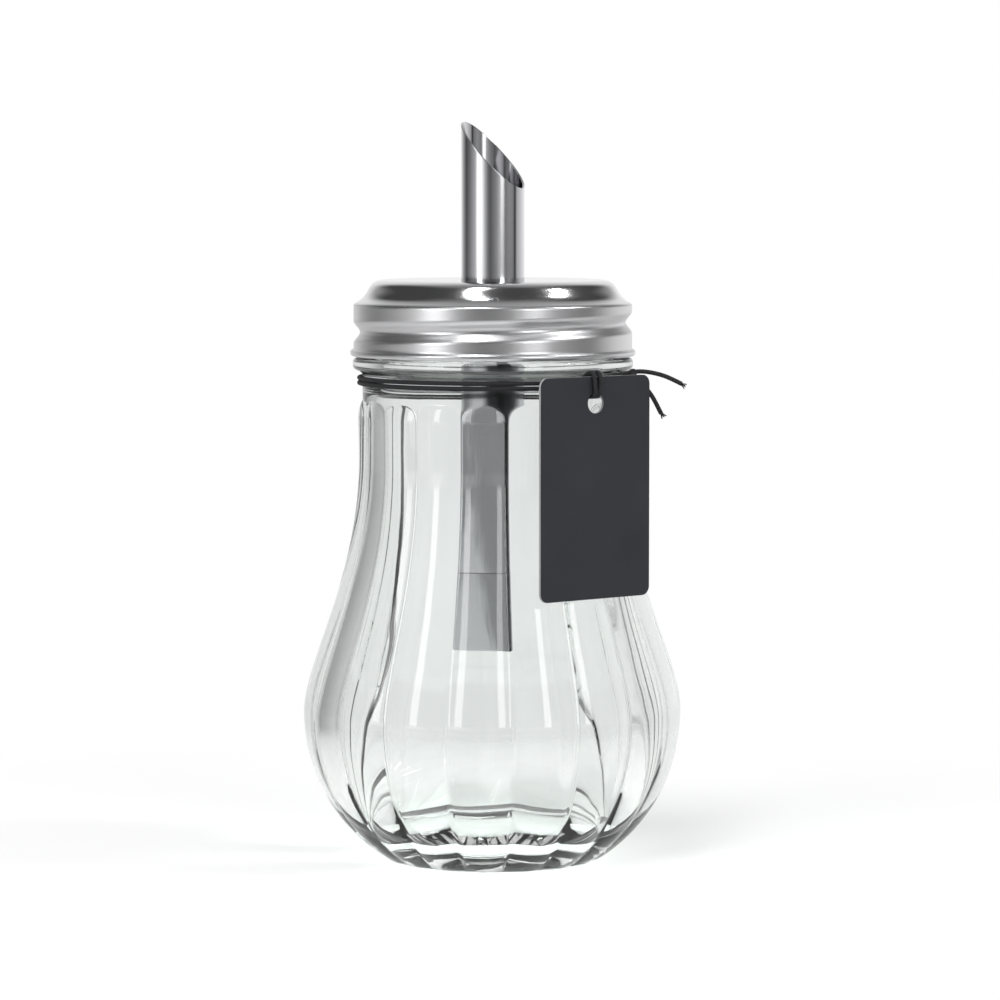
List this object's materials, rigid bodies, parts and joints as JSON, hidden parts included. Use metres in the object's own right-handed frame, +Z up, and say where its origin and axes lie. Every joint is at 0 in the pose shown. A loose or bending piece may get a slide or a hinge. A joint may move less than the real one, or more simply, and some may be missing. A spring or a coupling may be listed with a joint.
{
  "type": "sugar dispenser",
  "caption": "Fluted glass sugar jar with a screw cap, a slanted pouring tube, a hinged flap inside the tube's mouth and a card tag on an elastic cord.",
  "frame": {"origin": "middle of the jar's foot, on the table", "axes": "+Z up along the jar's axis, -Y towards the front that the picture shows, +X to the viewer's right"},
  "size_m": [0.0846, 0.0848, 0.1646],
  "materials": {
    "clear_glass": "clear pressed glass with a faint grey-green tint",
    "cap_steel": "bright rolled and turned sheet steel, nearly a mirror on the flat top",
    "liner_foam": "white closed foam",
    "tube_steel": "polished drawn steel tube",
    "flap_steel": "thin bright sheet",
    "tag_card": "charcoal matt card with a pale cut edge",
    "black_cord": "black braided elastic"
  },
  "bodies": {
    "jar": {"glass_jar": "clear_glass", "neck_cord": "black_cord", "cord_knot": "black_cord"},
    "seal": {"cap_liner": "liner_foam"},
    "lid": {"screw_cap": "cap_steel", "tube_collar": "tube_steel", "spout_tube": "tube_steel", "dosing_sleeve": "tube_steel", "flap_pin": "tube_steel", "flap_ledge": "tube_steel"},
    "flap": {"flap": "flap_steel"},
    "tag": {"hang_tag": "tag_card", "tag_loop": "black_cord"}
  },
  "joints": [
    {"name": "lid_lift", "type": "slide", "parent": "jar", "child": "seal", "axis": [0, 0, 1], "range_m": [0, 0.09]},
    {"name": "lid_turn", "type": "hinge", "parent": "seal", "child": "lid", "pos_m": [0, 0, 0.1295], "axis": [0, 0, 1], "range_deg": [0, 450]},
    {"name": "flap_swing", "type": "hinge", "parent": "lid", "child": "flap", "pos_m": [-0.00423, 0.0018, 0.1485], "axis": [-0.3907, -0.9205, 0], "range_deg": [0, 55]},
    {"name": "tag_swing", "type": "hinge", "parent": "jar", "child": "tag", "pos_m": [0.01951, -0.02409, 0.107], "axis": [-0.7771, -0.6293, 0], "range_deg": [0, 25]}
  ]
}
